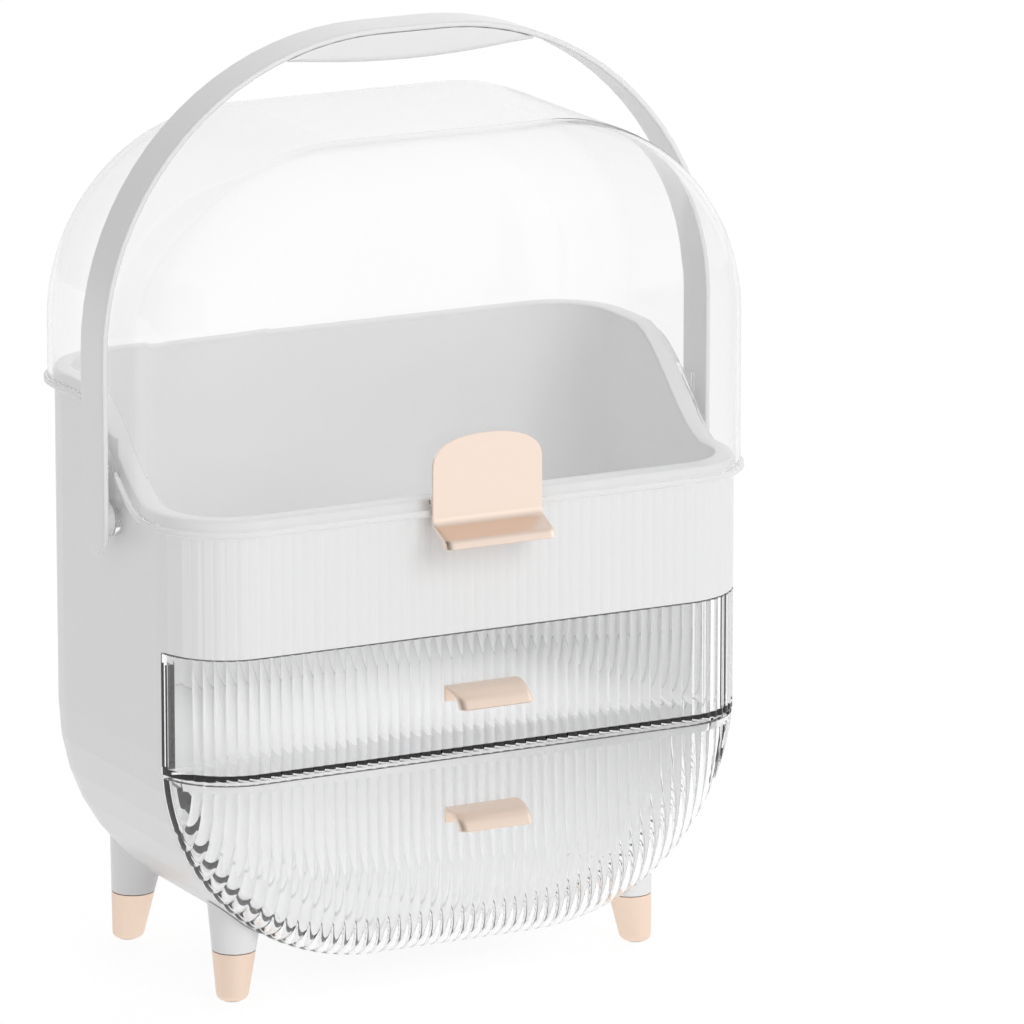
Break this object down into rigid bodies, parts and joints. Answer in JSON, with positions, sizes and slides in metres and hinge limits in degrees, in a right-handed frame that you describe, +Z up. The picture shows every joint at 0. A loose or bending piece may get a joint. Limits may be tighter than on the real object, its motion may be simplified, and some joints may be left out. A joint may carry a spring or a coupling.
{
  "type": "makeup organizer",
  "caption": "Countertop makeup organizer: white case with a rounded underside on splayed legs, clear fluted drawers, an upper tray, a clear domed lid and a carrying handle.",
  "frame": {"origin": "on the table, at the middle of the object's box", "axes": "+Z up, front towards -Y, +X to the right seen from the front"},
  "size_m": [0.312, 0.197, 0.439],
  "materials": {
    "white_plastic": "semi-gloss moulded",
    "clear_plastic": "clear polished",
    "rose_gold": "rose gold plated, polished",
    "satin_gold": "satin metallic coating",
    "steel": "plated",
    "acetal": "plain moulded",
    "rubber": "soft matt"
  },
  "bodies": {
    "case": {"body_casing": "white_plastic", "upper_tray": "white_plastic", "middle_shelf": "white_plastic", "pivot_bush_left": "acetal", "pivot_bush_right": "acetal", "leg_front_left": "white_plastic", "leg_tip_front_left": "satin_gold", "foot_pad_front_left": "rubber", "leg_screw_front_left": "steel", "leg_front_right": "white_plastic", "leg_tip_front_right": "satin_gold", "foot_pad_front_right": "rubber", "leg_screw_front_right": "steel", "leg_rear_left": "white_plastic", "leg_tip_rear_left": "satin_gold", "foot_pad_rear_left": "rubber", "leg_screw_rear_left": "steel", "leg_rear_right": "white_plastic", "leg_tip_rear_right": "satin_gold", "foot_pad_rear_right": "rubber", "leg_screw_rear_right": "steel"},
    "lid": {"lid_dome": "clear_plastic", "latch_bracket": "rose_gold", "latch_pin": "steel"},
    "latch": {"latch": "rose_gold"},
    "handle": {"handle_band": "white_plastic", "handle_grip": "white_plastic", "pivot_spacer_left": "white_plastic", "pivot_spacer_right": "white_plastic", "pivot_screw_left": "steel", "pivot_screw_right": "steel"},
    "upper_drawer": {"upper_drawer": "clear_plastic", "upper_drawer_pull": "rose_gold", "upper_pull_screw_left": "steel", "upper_pull_screw_right": "steel"},
    "lower_drawer": {"lower_drawer": "clear_plastic", "lower_drawer_pull": "rose_gold", "lower_pull_screw_left": "steel", "lower_pull_screw_right": "steel"}
  },
  "joints": [
    {"name": "lid_hinge", "type": "hinge", "parent": "case", "child": "lid", "pos_m": [0, 0.0015, 0.224], "axis": [-1, 0, 0], "range_deg": [0, 55]},
    {"name": "handle_swing", "type": "hinge", "parent": "case", "child": "handle", "pos_m": [0, 0.0015, 0.224], "axis": [1, 0, 0], "range_deg": [-90, 90]},
    {"name": "upper_drawer_slide", "type": "slide", "parent": "case", "child": "upper_drawer", "axis": [0, -1, 0], "range_m": [0, 0.11]},
    {"name": "lower_drawer_slide", "type": "slide", "parent": "case", "child": "lower_drawer", "axis": [0, -1, 0], "range_m": [0, 0.11]},
    {"name": "latch_pivot", "type": "hinge", "parent": "lid", "child": "latch", "pos_m": [0, -0.0812, 0.2355], "axis": [-1, 0, 0], "range_deg": [0, 6]}
  ]
}
